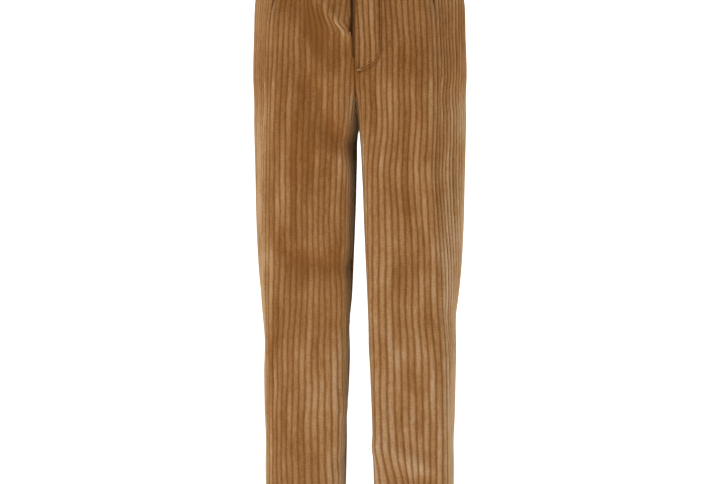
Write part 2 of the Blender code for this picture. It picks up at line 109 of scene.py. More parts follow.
def size_table(columns, lengths, rows):
    """Rows with named columns; the columns named as lengths are written in millimetres."""
    Row = namedtuple("Row", columns)
    made = []
    for values in rows:
        row = Row(*values)
        metres = {name: getattr(row, name) / 1000 for name in lengths.split()}
        made.append(row._replace(**metres))
    return made


BODY_SIZES = "z half_width front back seam_left seam_right"
BODY = size_table(BODY_SIZES, BODY_SIZES, (
    (20, 149, -108, 108, 113, 117),
    (-20, 160, -115, 119, 119.5, 124),
    (-61, 170.5, -120.5, 133, 124.6, 131.4),
    (-120, 173, -124, 145, 128, 137.8),
    (-185, 175, -123, 146, 130.7, 139.8),
    (-252, 174.2, -116, 132, 130.5, 142),
))

LEG_SIZES = "z inner outer front back seam_left seam_right"
LEG = size_table(LEG_SIZES, LEG_SIZES, (
    (-252, 0.7, 174.2, -116, 132, 130.5, 142),
    (-300, 5.6, 173, -109, 121, 128.5, 143.6),
    (-351, 8.2, 171.6, -103, 113.5, 126.2, 144.8),
    (-424, 10.8, 170, -95.5, 105.5, 130.5, 146.6),
    (-497, 13.7, 166.4, -88.5, 99, 135.5, 147.4),
    (-569, 16.6, 160, -82.5, 92.5, 137.8, 147.8),
    (-642, 19, 157.6, -77.5, 87, 143, 147.4),
    (-751, 23.2, 155.2, -71.5, 80.5, 144.8, 146.4),
    (-858, 26, 153.5, -67.5, 76.5, 145.2, 146),
    (-1040, 30.2, 149, -62.5, 71.5, 140, 140),
))

BODY_CORNERS = size_table("place seam_share width_share depth_share", "", (
    ("middle front", 0.00, 0.00, -1.00),
    ("front", 0.50, 0.00, -1.00),
    ("front edge", 0.90, 0.00, -0.97),
    ("outseam", 1.06, 0.00, -0.84),
    ("side facet", 0.55, 0.45, -0.60),
    ("side front", 0.00, 1.02, -0.36),
    ("side back", 0.00, 1.03, 0.14),
    ("back corner", 0.00, 0.90, 0.62),
    ("seat", 0.00, 0.60, 0.94),
    ("cheek", 0.00, 0.28, 1.02),
    ("middle back", 0.00, 0.00, 0.985),
))

LEG_CORNERS = size_table("place across seam_share depth_share", "", (
    ("inseam", -1.03, 0.00, 0.02),
    ("inner front", -1.03, 0.00, -0.58),
    ("inner front corner", -0.98, 0.00, -0.97),
    ("front inner", -0.62, 0.00, -1.02),
    ("front outer", 0.00, 0.45, -1.00),
    ("front edge", 0.00, 0.88, -0.96),
    ("outseam", 0.04, 1.00, -0.82),
    ("side front", 1.00, 0.00, -0.36),
    ("side back", 1.03, 0.00, 0.14),
    ("back corner", 0.88, 0.00, 0.64),
    ("back outer", 0.42, 0.00, 0.98),
    ("back inner", -0.28, 0.00, 1.03),
    ("inner back corner", -0.82, 0.00, 0.76),
    ("inner back", -1.02, 0.00, 0.38),
))

# spacing of the wales: by the outseam, in the middle of the panel and by the rise or inseam
SPACING = "z near middle far"
WALES = {
    "right front": size_table(SPACING, SPACING, (
        (-20, 8.8, 9.2, 9.4),
        (-240, 9.2, 9.4, 9.2),
        (-390, 9.2, 9, 8.6),
        (-560, 9, 9.5, 9.2),
        (-660, 7.6, 10.6, 10.4),
        (-760, 6.6, 11.8, 10.8),
        (-880, 7.2, 11.4, 10.4),
        (-1040, 8.6, 10, 9.6),
    )),
    "left front": size_table(SPACING, SPACING, (
        (-20, 9, 9, 9.2),
        (-240, 9, 9, 9),
        (-390, 9.8, 10.2, 8.6),
        (-500, 10, 11, 9),
        (-640, 10.4, 11.6, 9.6),
        (-760, 10.6, 11.6, 10),
        (-1040, 10, 10.6, 10),
    )),
    "right back": size_table(SPACING, SPACING, (
        (-20, 9.2, 9.8, 9.6),
        (-500, 9.6, 10, 9.6),
        (-1040, 9.8, 9.8, 9.6),
    )),
    "left back": size_table(SPACING, SPACING, (
        (-20, 9.6, 9.8, 9.6),
        (-340, 8.8, 10, 9.6),
        (-1040, 9.4, 9.8, 9.6),
    )),
}
WALE_PLACES = {"front": (3.0, 9.0, 15.0), "back": (4.0, 14.0, 34.0)}
WALE_COUNT = {"front": 27, "back": 50}

# where the grain is pulled sideways: centre in wales from the outseam and in z, and how far
LEANS = size_table("name panel wale wales z height shift", "z height shift", (
    ("turned above the hem", "left front", 8.5, 3.2, -905, 70, -19),
    ("slack above the hem", "right front", 8.0, 4.5, -700, 50, 3),
    ("slack at the thigh", "left front", 9.0, 6.0, -410, 85, -5),
    ("under the hip", "left front", 8.5, 6.0, -215, 45, 4.2),
    ("turned behind the knee", "left back", 22.0, 9.0, -640, 70, 6),
    ("turned behind the knee", "right back", 18.0, 9.0, -600, 80, 5),
))
# where a fold draws the grain toward the outseam: the wale it starts at and the wales it takes
# to draw fully, the height it lets go at, and the turn's height at that wale and its fall per wale
DRAGS = size_table("name panel wale wales z_low z_turn fall shift", "z_low z_turn fall shift", (
    ("fold beside the fly", "right front", 3.0, 6.0, -128, -5, 10, -13),
))

# creases: soft troughs (plus) and ridges (minus) pressed into the cloth
STROKE = "x_start z_start x_end z_end width"
CREASES = size_table("name panel " + STROKE + " depth", STROKE + " depth", (
    ("drag from hip", "right front", -86, -176, -76, -226, 22, 4.2),
    ("drag under seat", "right front", -76, -226, -48, -276, 20, 5),
    ("drag to inseam", "right front", -48, -276, -14, -300, 17, 5),
    ("drag down the inseam", "right front", -14, -300, -6, -340, 12, 3),
    ("ridge over drag", "right front", -36, -202, -32, -246, 16, -3.6),
    ("under drag", "right front", -60, -318, -30, -332, 18, -2.2),
    ("fold beside the fly", "right front", -76, -50, -12, -132, 6.5, -3.6),
    ("hollow over the fold", "right front", -32, -46, -12, -96, 12, 1.4),
    ("hollow under the fold", "right front", -98, -76, -58, -150, 18, 4.2),
    ("side of the fly", "right front", -7, -30, -6, -160, 6, 3.4),
    ("side of the rise", "right front", -8.5, -165, -8.5, -300, 4.5, 1.6),
    ("knee", "right front", -88, -492, -22, -506, 16, 4.2),
    ("over the knee", "right front", -86, -462, -40, -464, 18, -2.2),
    ("below the knee", "right front", -112, -534, -62, -532, 16, -2.4),
    ("over the shin", "right front", -86, -588, -52, -588, 22, 3),
    ("calf ridge", "right front", -116, -724, -30, -734, 22, -3),
    ("calf", "right front", -110, -792, -110, -850, 15, 3.4),
    ("calf fold", "right front", -78, -806, -36, -808, 14, 2.2),
    ("ankle", "right front", -100, -925, -50, -945, 24, 3.4),
    ("pucker by the fly", "left front", 5, -176, 14, -204, 3.4, 2.2),
    ("pucker under the fly", "left front", 3, -184, 8, -222, 3, 1.8),
    ("pucker ridge", "left front", 10, -180, 21, -208, 3.2, -1.6),
    ("under the fly", "left front", 18, -186, 34, -236, 14, 2.4),
    ("long hollow", "left front", 84, -90, 82, -310, 20, 2.6),
    ("hip side", "left front", 112, -130, 116, -330, 24, -2),
    ("thigh", "left front", 52, -372, 72, -372, 20, 2.4),
    ("over the knee", "left front", 74, -436, 94, -440, 16, 2),
    ("knee", "left front", 70, -508, 96, -502, 18, 2.6),
    ("knee side", "left front", 124, -360, 142, -450, 22, -2.2),
    ("shin ridge", "left front", 50, -632, 62, -640, 20, -2.4),
    ("shin ridge again", "left front", 70, -694, 88, -704, 18, -2),
    ("calf", "left front", 68, -726, 104, -728, 14, 2.6),
    ("over the calf fold", "left front", 84, -786, 106, -794, 13, 2.4),
    ("calf fold", "left front", 40, -794, 108, -826, 14, -4),
    ("under the calf fold", "left front", 64, -842, 112, -850, 14, 4.4),
    ("ankle", "left front", 50, -930, 105, -915, 24, 3),
    ("under seat", "left back", 140, -235, 30, -285, 26, 4.6),
    ("under seat again", "left back", 120, -285, 35, -325, 22, 3),
    ("under seat", "right back", -132, -245, -30, -282, 28, 4.4),
    ("under seat again", "right back", -110, -300, -40, -330, 24, 2.6),
    ("behind knee", "left back", 130, -600, 40, -625, 34, 4.2),
    ("behind knee", "right back", -130, -625, -45, -610, 36, 4),
    ("over knee", "left back", 120, -545, 50, -560, 22, -2.2),
    ("over knee", "right back", -115, -565, -60, -555, 22, -2),
    ("calf", "left back", 60, -760, 120, -785, 30, 2.6),
    ("calf", "right back", -60, -745, -125, -770, 30, 2.8),
    ("ankle", "left back", 50, -935, 120, -920, 26, 3.6),
    ("ankle", "right back", -50, -925, -120, -940, 26, 3.6),
    ("seat", "left back", 20, -70, 70, -110, 30, 1.6),
    ("seat", "right back", -20, -75, -75, -115, 30, 1.8),
))

# tone put into the pile, paler (plus) or darker (minus): pile worn pale or pressed dark, and painted
# shade in hollows, folds and under the fly's edge, with painted light on ridges, the inner leg and the
# backs' sides
WEAR_AND_SHADE = size_table("name panel " + STROKE + " tone", STROKE, (
    ("hollow of the hip", "right front", -108, -60, -66, -140, 24, -0.65),
    ("hip", "right front", -86, -150, -60, -260, 22, -0.22),
    ("along the drag", "right front", -56, -270, -12, -300, 18, -0.35),
    # painted highlight on the fold's ridge
    ("fold", "right front", -75, -52, -12, -132, 6, 0.60),
    ("beside the fly", "right front", -10, -40, -9, -90, 9, -0.60),
    # painted shadow of the gap under the fly's edge
    ("under the fly's edge", "right front", -5.5, -30, -4.5, -126, 3.4, -3.4),
    ("over the drag", "right front", -34, -200, -32, -240, 16, 0.16),
    ("inner thigh", "right front", -14, -400, -16, -520, 14, -0.26),
    ("whole leg", "right front", -98, -230, -85, -900, 38, -0.58),
    ("beside the outseam", "right front", -130, -320, -127, -880, 12, -0.34),
    ("shin again", "right front", -95, -640, -85, -720, 30, -0.22),
    ("inner knee", "right front", -38, -430, -36, -580, 22, -0.50),
    ("under the fly", "right front", -55, -165, -26, -260, 22, -0.42),
    ("inner ankle", "right front", -22, -750, -26, -870, 12, 0.60),
    # painted light on the inner leg, which stands in shade
    ("inseam", "right front", -3, -235, -9, -460, 8, 0.80),
    ("thigh", "right front", -122, -430, -108, -450, 22, -0.20),
    ("knee", "right front", -84, -494, -24, -506, 16, -0.26),
    ("below the knee", "right front", -112, -534, -62, -532, 18, 0.16),
    ("shin", "right front", -88, -586, -50, -590, 24, -0.18),
    ("calf", "right front", -100, -730, -28, -740, 30, 0.26),
    ("calf side", "right front", -110, -790, -108, -850, 16, -0.24),
    ("fly", "left front", 20, -60, 20, -166, 16, 0.45),
    ("shin hollow", "left front", 75, -620, 86, -690, 28, -0.60),
    ("knee hollow", "right front", -70, -500, -50, -640, 22, -0.45),
    ("thigh hollow", "left front", 102, -338, 102, -400, 16, -0.55),
    ("inner knee", "left front", 28, -430, 34, -460, 18, -0.45),
    ("inner shin", "left front", 38, -516, 40, -600, 15, 0.34),
    ("beside the outseam", "left front", 124, -500, 124, -580, 14, -0.40),
    ("under the fly", "left front", 22, -190, 30, -250, 16, -0.24),
    ("long hollow", "left front", 80, -60, 84, -320, 20, -0.22),
    ("hip side", "left front", 120, -300, 142, -460, 22, 0.24),
    ("inner leg", "left front", 14, -300, 32, -850, 12, 0.30),
    ("thigh", "left front", 52, -372, 72, -372, 20, -0.20),
    ("knee", "left front", 70, -506, 98, -502, 20, -0.16),
    ("shin", "left front", 50, -630, 66, -640, 22, 0.20),
    ("calf", "left front", 40, -794, 106, -824, 16, 0.36),
    ("under the calf fold", "left front", 62, -842, 112, -850, 14, -0.40),
    # painted sheen along the backs' sides
    ("side", "left back", 163, -260, 143, -1000, 24, 1.0),
    ("side", "right back", -168, -260, -146, -1000, 22, 0.85),
    ("seat", "left back", 70, -130, 80, -200, 50, 0.26),
    ("seat", "right back", -70, -130, -80, -200, 50, 0.26),
    ("behind knee", "left back", 120, -605, 45, -622, 30, -0.26),
    ("behind knee", "right back", -120, -620, -45, -612, 30, -0.26),
))
CREASE_SHADE = 34.0         # painted shade in a pressed-in crease, painted light on a ridge

# the J of the fly, how far stitching presses the cloth in, and the stitches' own sizes
FLY_STITCHES = size_table("x z", "x z", (
    (41, -22),
    (41, -70),
    (41, -130),
    (40.2, -156),
    (36.2, -170),
    (28, -178),
    (18, -184),
    (7.5, -187.5),
))
FLY_TURN = -0.160           # where the J's inner row leaves the upright
FLY_ROWS = (0.0, 0.0045)
MOUTH_ROWS = (0.0022, 0.0080)
STITCH_PULL = 0.0019
STITCH_PULL_WIDTH = 0.0028
STITCH_PULL_BEAT = 0.0105
HEM_STITCH_INSET = 0.004
HEM_STITCH_PULL = 0.0008
HEM_STITCH_WIDTH = 0.0025
BAND_STITCH_INSET = 0.0035
BAND_STITCH_PULL = 0.0007
BAND_STITCH_WIDTH = 0.0018
STITCH_LENGTH = 0.0030
STITCH_GAP = 0.0009
THREAD = 0.0004
TACK_THREAD = 0.00038
TACK_STEP = 0.0007
TACKS_ON_FLY = size_table("side x z tilt length width", "x z length width", (
    ("right", 7.5, -130, (0.1, 0, 1), 7.5, 3.0),
    ("left", 7.0, -186, (1, 0, 0.1), 6.0, 2.6),
))


# ---------------------------------------------------------------- the form the cloth lies on

def read(table, z, column):
    """A column of a table at height z, joined by a smooth curve."""
    rows = sorted(table, key=lambda row: row.z)
    z = min(max(z, rows[0].z), rows[-1].z)
    spot = max(k for k in range(len(rows) - 1) if rows[k].z <= z)
    low, high = rows[spot], rows[spot + 1]
    before = rows[max(spot - 1, 0)]
    after = rows[min(spot + 2, len(rows) - 1)]

    def slope(a, b):
        return (getattr(b, column) - getattr(a, column)) / (b.z - a.z)

    span = high.z - low.z
    t = (z - low.z) / span
    start = slope(before, high) * span
    end = slope(low, after) * span
    a, b = getattr(low, column), getattr(high, column)
    return ((2 * t**3 - 3 * t**2 + 1) * a + (t**3 - 2 * t**2 + t) * start
            + (3 * t**2 - 2 * t**3) * b + (t**3 - t**2) * end)


def rounded(corners, closed):
    """Points of a cubic B-spline round a polygon of (x, y) corners."""
    count = len(corners)
    spans = count if closed else count - 1
    points = []
    for k in range(spans):
        near = [corners[(k + step) % count] for step in (-1, 0, 1, 2)]
        if not closed:
            if k == 0:
                near[0] = (-corners[1][0], corners[1][1])
            if k == count - 2:
                near[3] = (-corners[-2][0], corners[-2][1])
        for step in range(SPLINE_STEPS):
            t = step / SPLINE_STEPS
            weights = ((1 - t)**3, 3 * t**3 - 6 * t**2 + 4,
                       -3 * t**3 + 3 * t**2 + 3 * t + 1, t**3)
            x = sum(w * p[0] for w, p in zip(weights, near)) / 6
            y = sum(w * p[1] for w, p in zip(weights, near)) / 6
            points.append((x, y))
    if not closed:
        points.append((0.0, (2 * corners[-2][1] + 4 * corners[-1][1]) / 6))
    return points


def fitted(points, low_x, high_x, low_y, high_y):
    """The points stretched to fill a rectangle."""
    xs = [p[0] for p in points]
    ys = [p[1] for p in points]
    wide = (high_x - low_x) / (max(xs) - min(xs))
    deep = (high_y - low_y) / (max(ys) - min(ys))
    return [(low_x + (x - min(xs)) * wide, low_y + (y - min(ys)) * deep) for x, y in points]


def line_marks(line):
    """Length along a polyline at each of its points."""
    return np.concatenate(([0.0], np.cumsum(np.hypot(*np.diff(line, axis=0).T))))


def resampled(points, count):
    """The polyline at equal steps of its length."""
    line = np.array(points)
    marks = line_marks(line)
    want = np.linspace(0.0, marks[-1], count + 1)
    xs = np.interp(want, marks, line[:, 0])
    ys = np.interp(want, marks, line[:, 1])
    return list(zip(xs.tolist(), ys.tolist()))


def split_at_seam(points, seam):
    """Front and back polylines, each from the outseam to its far end."""
    for k in range(1, len(points)):
        a, b = points[k - 1], points[k]
        if a[0] < seam <= b[0]:
            t = (seam - a[0]) / (b[0] - a[0])
            middle = (seam, a[1] + (b[1] - a[1]) * t)
            front = [middle] + points[:k][::-1]
            back = [middle] + points[k:]
            return resampled(front, OUTLINE_SAMPLES), resampled(back, OUTLINE_SAMPLES)
    raise ValueError("the outseam lies outside the outline")


def body_halves(side, z):
    """The seat's front and back polylines at height z, on the +X side."""
    half = read(BODY, z, "half_width") - WALE_RISE
    front = read(BODY, z, "front") + WALE_RISE
    back = read(BODY, z, "back") - WALE_RISE
    seam = read(BODY, z, "seam_" + side)
    corners = []
    for corner in BODY_CORNERS:
        depth = -front if corner.depth_share < 0 else back
        across = corner.seam_share * seam + corner.width_share * half
        corners.append((across, corner.depth_share * depth))
    outline = fitted(rounded(corners, closed=False), 0.0, half, front, back)
    return split_at_seam(outline, seam)


def leg_halves(side, z, table):
    """A leg's front and back polylines, as wide and deep as a table says, on the +X side."""
    inner = read(LEG, z, "inner")
    outer = read(table, z, "outer" if table is LEG else "half_width") - WALE_RISE
    front = read(table, z, "front") + WALE_RISE
    back = read(table, z, "back") - WALE_RISE
    seam = read(table, z, "seam_" + side)
    middle = (inner + outer) / 2
    half = (outer - inner) / 2
    seam_place = (seam - middle) / half
    corners = []
    for corner in LEG_CORNERS:
        depth = -front if corner.depth_share < 0 else back
        across = corner.across + corner.seam_share * seam_place
        corners.append((middle + across * half, corner.depth_share * depth))
    outline = fitted(rounded(corners, closed=True), inner, outer, front, back)
    outline.append(outline[0])
    return split_at_seam(outline, seam)


def rise_share(z):
    """How far the rise curve has run in from the front or back to the inseam at height z."""
    down = min(max((FORK_TOP - z) / (FORK_TOP - CROTCH), 0.0), 1.0)
    return 1 - (1 - down ** FORK_POWER) ** (1 / FORK_POWER)


def cut_at_rise(line, share):
    """A leg's line from the outseam, ended where the rise curve cuts it and brought to x = 0."""
    deepest = max(range(len(line)), key=lambda k: abs(line[k][1]))
    far = line[deepest][1]
    goal = far + (line[-1][1] - far) * share
    spot = deepest
    while spot < len(line) - 2 and abs(line[spot + 1][1]) > abs(goal):
        spot += 1
    a, b = line[spot], line[spot + 1]
    t = min(max((goal - a[1]) / (b[1] - a[1]), 0.0), 1.0)
    end = a[0] + (b[0] - a[0]) * t
    seam = line[0][0]
    inner = [(seam - (seam - x) * seam / (seam - end) if x < seam else x, y)
             for x, y in line[:spot + 1] + [(end, goal)]]
    return resampled(inner, OUTLINE_SAMPLES)


def mixed(seat, leg, share):
    """Seat and leg polylines blended."""
    points = [(a[0] + (b[0] - a[0]) * share, a[1] + (b[1] - a[1]) * share)
              for a, b in zip(seat, leg)]
    return resampled(points, OUTLINE_SAMPLES)


def smooth(t):
    t = np.clip(t, 0.0, 1.0)
    return t * t * (3 - 2 * t)


def level_lines(side, z):
    """Front and back polylines of one level, and whether the leg is closed there."""
    if z <= CROTCH:
        return *leg_halves(side, z, LEG), True
    seat = body_halves(side, z)
    if z >= BLEND_TOP:
        return *seat, False
    legs = [cut_at_rise(line, rise_share(z)) for line in leg_halves(side, z, BODY)]
    share = float(smooth((BLEND_TOP - z) / (BLEND_TOP - CROTCH)))
    return *[mixed(a, b, share) for a, b in zip(seat, legs)], False


def row_heights(part, top, bottom):
    """Heights of the mesh's rows: even, with the rise curve's and the hem's own added."""
    drop = CROTCH - FORK_TOP
    turns = [math.pi / 2 * step / FORK_STEPS for step in range(FORK_STEPS + 1)]
    fork = [FORK_TOP + drop * math.sin(turn) ** (2 / FORK_POWER) for turn in turns]
    own = [z for z in fork + [FLY_END, MOUTH_END] if bottom < z < top]
    own += [top, bottom]
    even = [-ROW_STEP * k for k in range(int(-bottom / ROW_STEP) + 1)]
    if part == "front":
        fine = int((FINE_TOP - FINE_BOTTOM) / FINE_STEP)
        even += [FINE_TOP - FINE_STEP * k for k in range(fine) if k % 2]
    close = FINE_STEP * 0.4
    for z in even:
        if bottom < z < top and min(abs(z - other) for other in own) > close:
            own.append(z)
    return sorted(own, reverse=True)


class Form:
    """The form of one panel: for each row, a line round the body that starts at the outseam."""

    def __init__(self, side, part, top, bottom):
        self.side, self.part = side, part
        self.sign = SIDES[side]
        self.z = np.array(row_heights(part, top, bottom))
        self.lines, self.lengths, self.closed = [], [], []
        for z in self.z:
            front, back, closed = level_lines(side, float(z))
            own, other = (front, back) if part == "front" else (back, front)
            own, other = np.array(own), np.array(other)
            length = line_marks(own)[-1]
            if closed:
                beyond = other[::-1][1:]
            else:
                beyond = own[::-1][1:] * (-1, 1)
            line = np.concatenate((other[::-1][:-1], own, beyond))
            marks = line_marks(line) - line_marks(other)[-1]
            self.lines.append((marks, line))
            self.lengths.append(length)
            self.closed.append(closed)
        self.lengths = np.array(self.lengths)
        self.closed = np.array(self.closed)

    def on_row(self, row, distances):
        """Points of one row at these distances from the outseam."""
        marks, line = self.lines[row]
        xs = np.interp(distances, marks, line[:, 0])
        ys = np.interp(distances, marks, line[:, 1])
        return np.stack((xs, ys, np.full_like(xs, self.z[row])), axis=1)

    def at(self, distances):
        """Points for a table of distances from the outseam, one line of it for each row."""
        return np.stack([self.on_row(row, places) for row, places in enumerate(distances)])

    def normals(self, distances):
        """Outward directions at the same places."""
        reach = 0.003
        across = self.at(distances + reach) - self.at(distances - reach)
        shares = np.clip(distances / self.lengths[:, None], 0.0, 1.0)
        here = self.at(np.minimum(distances, self.lengths[:, None]))
        last = len(self.z) - 1
        down = np.empty_like(here)
        for k in range(1, last):
            below = self.within(k + 1, distances[k], shares[k])
            down[k] = below - self.within(k - 1, distances[k], shares[k])
        down[0] = down[1]
        down[last] = down[last - 1]
        outward = np.cross(down, across) if self.part == "back" else np.cross(across, down)
        crotch = np.flatnonzero(self.closed)
        if len(crotch) and crotch[0] > 0:
            end = shares[crotch[0]] > 0.999
            outward[crotch[0]][end] = (-1.0, 0.0, -1.0)
        return outward / np.linalg.norm(outward, axis=2, keepdims=True)

    def within(self, row, distances, shares):
        """Points of one row at these distances, none past the panel's far end."""
        places = np.minimum(distances, self.lengths[row])
        return self.on_row(row, np.where(shares > 0.999, self.lengths[row], places))

    def placed(self, distances, lift):
        """Points lifted off the form, on the panel's own side and clear of the other leg."""
        points = self.at(distances) + self.normals(distances) * lift[..., None]
        points[..., 0] = np.maximum(points[..., 0], SEAM_GAP / 2)
        points[..., 0] *= self.sign
        return points


# ---------------------------------------------------------------- wales, creases and seams

def wale_places(side, part, heights):
    """Distance from the outseam of every eighth of a wale, one line for each height."""
    panel = side + " " + part
    numbers = np.arange(WALE_COUNT[part] * WALE_STEPS + 1) / WALE_STEPS
    places = []
    for z in heights:
        pitches = [read(WALES[panel], float(z), column) for column in ("near", "middle", "far")]
        pitch = np.interp(numbers, WALE_PLACES[part], pitches)
        place = np.concatenate(([0.0], np.cumsum(pitch[1:]) / WALE_STEPS))
        place = place + wander(side, part, numbers, z)
        for lean in LEANS:
            if lean.panel == panel:
                spread = ((numbers - lean.wale) / lean.wales)**2 + ((z - lean.z) / lean.height)**2
                place = place + lean.shift * np.exp(-spread)
        for drag in DRAGS:
            if drag.panel == panel:
                place = place + dragged(drag, numbers, z)
        places.append(place)
    return numbers, np.array(places)


def wander(side, part, numbers, z):
    """The small unevenness of the wales' paths."""
    turn = 1.7 * SIDES[side] + len(part)
    slow = 0.0007 * np.sin(z * 21 + numbers * 0.37 + turn)
    quick = 0.0004 * np.sin(z * 67 - numbers * 0.9 + turn * 2)
    return (slow + quick) * smooth(numbers / 2)


def dragged(drag, numbers, z):
    """How far one fold draws these wales sideways: fully above its turn, not at all below it."""
    turn = np.maximum(drag.z_turn - drag.fall * (numbers - drag.wale), drag.z_low + 0.020)
    share = smooth((z - drag.z_low) / (turn - drag.z_low))
    return drag.shift * smooth((numbers - drag.wale) / drag.wales) * share


def along_lines(strokes, column, panel, x, z):
    """The sum of a table's soft, slightly bowed and uneven strokes over arrays of places."""
    total = np.zeros_like(x)
    for number, stroke in enumerate(strokes):
        if stroke.panel != panel:
            continue
        run = (stroke.x_end - stroke.x_start, stroke.z_end - stroke.z_start)
        length = math.hypot(*run)
        along = ((x - stroke.x_start) * run[0] + (z - stroke.z_start) * run[1]) / length
        across = ((x - stroke.x_start) * run[1] - (z - stroke.z_start) * run[0]) / length
        bow = 0.35 * stroke.width * np.sin(along / (stroke.width * 3.1) + number * 1.7)
        past = np.maximum(np.maximum(-along, along - length), 0.0)
        uneven = 0.85 + 0.15 * np.sin(along / (stroke.width * 1.9) + number * 2.3)
        away = np.hypot((across + bow) / stroke.width, past / (stroke.width * 1.4))
        total += getattr(stroke, column) * uneven * np.exp(-away * away)
    return total


def stitch_pull(x, z):
    """How far the stitched J of the fly presses the cloth in."""
    pull = np.zeros_like(x)
    for a, b in zip(FLY_STITCHES, FLY_STITCHES[1:]):
        run = (b.x - a.x, b.z - a.z)
        span = run[0]**2 + run[1]**2
        t = np.clip(((x - a.x) * run[0] + (z - a.z) * run[1]) / span, 0.0, 1.0)
        away = np.hypot(x - a.x - run[0] * t, z - a.z - run[1] * t) / STITCH_PULL_WIDTH
        beat = 0.8 + 0.2 * np.cos(z / STITCH_PULL_BEAT * math.tau)
        pull = np.maximum(pull, STITCH_PULL * beat * np.exp(-away * away))
    return pull


def mouth_offset(z):
    """How far the pocket mouth has cut the front back from the outseam."""
    return MOUTH_TOP * smooth((z - MOUTH_END) / (BAND_BOTTOM - MOUTH_END))


def panel_ends(form):
    """Each row's first and last distance from the outseam."""
    start = np.full(len(form.z), SEAM_GAP / 2)
    end = np.where(form.closed, form.lengths - SEAM_GAP / 2, form.lengths)
    if form.part == "front":
        start = start + mouth_offset(form.z)
        if form.side == "right":
            end = end - FLY_SETBACK * (form.z >= FLY_END)
    return start, end


def wale_relief(panel, numbers):
    """Height over the groove at these places of the count of wales."""
    return WALE_SHOWN[panel] * np.abs(np.sin(math.pi * numbers))


# ---------------------------------------------------------------- meshes of cloth

def cloth_mesh(name, outer, inner, u, v, wear_and_shade=None):
    """A closed wall from an outer and an inner sheet of points, with u along a row of it."""
    rows, columns = u.shape
    if wear_and_shade is None:
        wear_and_shade = np.zeros_like(u)

    def wrapped(first, second, pinch):
        joined = np.concatenate((first, second[:, ::-1], first[:, :1]), axis=1)
        top, bottom = pinch[:1], pinch[-1:]
        ends = [np.concatenate((e, e[:, ::-1], e[:, :1]), axis=1) for e in (top, bottom)]
        return np.concatenate((ends[0], joined, ends[1]), axis=0)

    points = wrapped(outer, inner, (outer + inner) / 2)
    own = np.stack((u, v, wear_and_shade), axis=2)
    coords = wrapped(own, own, own)
    wide, high = 2 * columns + 1, rows + 2
    bm = bmesh.new()
    bmesh.ops.create_grid(bm, x_segments=wide - 1, y_segments=high - 1, size=1.0)
    bm.verts.ensure_lookup_table()
    layer = bm.loops.layers.uv.new("weave")
    # the tone attribute: worn pile plus painted light and shade
    nap = bm.verts.layers.float.new("nap")
    flat = points.reshape(-1, 3)
    flat_coords = coords.reshape(-1, 3).tolist()
    for vert, place, coord in zip(bm.verts, flat.tolist(), flat_coords):
        vert.co = place
        vert[nap] = coord[2]
    for face in bm.faces:
        face.smooth = True
        for loop in face.loops:
            loop[layer].uv = flat_coords[loop.vert.index][:2]
    bmesh.ops.remove_doubles(bm, verts=bm.verts, dist=1e-6)
    bmesh.ops.dissolve_degenerate(bm, edges=bm.edges, dist=1e-6)
    bmesh.ops.recalc_face_normals(bm, faces=bm.faces)
    return finished(name, bm)


def finished(name, bm):
    mesh = bpy.data.meshes.new(name)
    bm.to_mesh(mesh)
    bm.free()
    piece = bpy.data.objects.new(name, mesh)
    bpy.context.scene.collection.objects.link(piece)
    return piece


def sew_panel(side, part):
    """A front or back panel with its wales, creases and turned-up hem."""
    panel = side + " " + part
    form = Form(side, part, BAND_BOTTOM - SEAM_GAP, HEM)
    start, end = panel_ends(form)
    numbers, places = wale_places(side, part, form.z)
    distances = np.clip(places, start[:, None], end[:, None])
    from_start, to_end = distances - start[:, None], end[:, None] - distances
    u = np.array([np.interp(d, p, numbers) for d, p in zip(distances, places)])
    z = np.repeat(form.z[:, None], u.shape[1], axis=1)
    below_band = BAND_BOTTOM - z
    fade = smooth(np.minimum(from_start, to_end) / WALE_FADE) * smooth(below_band / WALE_FADE)
    lift = wale_relief(panel, u) * fade
    x = form.at(distances)[..., 0] * form.sign
    pressed = along_lines(CREASES, "depth", panel, x, z)
    pressed *= smooth(to_end / CALM_BY_END) * smooth(from_start / CALM_BY_START)
    pressed *= smooth(below_band / CALM_BY_BAND)
    # worn pile, and painted light and shade in folds, hollows and under the fly's edge
    wear_and_shade = along_lines(WEAR_AND_SHADE, "tone", panel, x, z)
    if panel == "left front":
        fold = smooth(1 - to_end / FLY_FOLD_WIDTH)
        lift += FLY_FOLD_LIFT * fold * smooth((z - FLY_END) / FLY_FOLD_RUN_OUT + 1.0)
        pull = stitch_pull(x, z)
        pressed += pull
        # painted shade along the J's stitching
        wear_and_shade -= STITCH_SHADE * pull
    # painted shade along the panel's seam edges, a third as strong by the outseam
    for away, shade in ((to_end, SEAM_SHADE), (from_start, SEAM_SHADE / 3)):
        wear_and_shade -= shade * np.exp(-(away / SEAM_SHADE_WIDTH)**2)
    from_stitch = z - HEM - HEM_TURN + HEM_STITCH_INSET
    pressed += HEM_STITCH_PULL * np.exp(-(from_stitch / HEM_STITCH_WIDTH)**2)
    outer = form.placed(distances, lift - pressed)
    wall = np.where(z <= HEM + HEM_TURN, HEM_WALL, WALL)
    inner = form.placed(distances, -wall - pressed)
    # painted shade in creases and painted light on ridges
    wear_and_shade -= CREASE_SHADE * pressed
    return cloth_mesh("cloth_" + part + "_" + side, outer, inner, u, z, wear_and_shade)


def sew_facing(side):
    """The cloth seen in a pocket mouth, cut on the same grain."""
    form = Form(side, "front", BAND_BOTTOM - SEAM_GAP, FACING_END)
    numbers = np.arange(4 * WALE_STEPS + 1) / WALE_STEPS
    end = mouth_offset(form.z)[:, None] + FACING_UNDER_FRONT
    distances = np.clip(FACING_EDGE + numbers[None] * WALE_PITCH, FACING_EDGE, end)
    z = np.repeat(form.z[:, None], distances.shape[1], axis=1)
    depth = WALL + SEAM_GAP + FACING_SLACK
    u = (distances - FACING_EDGE) / WALE_PITCH
    outer = form.placed(distances, np.full_like(z, -depth))
    inner = form.placed(distances, np.full_like(z, -depth - FACING_WALL))
    return cloth_mesh("pocket_facing_cloth_" + side, outer, inner, u, z)


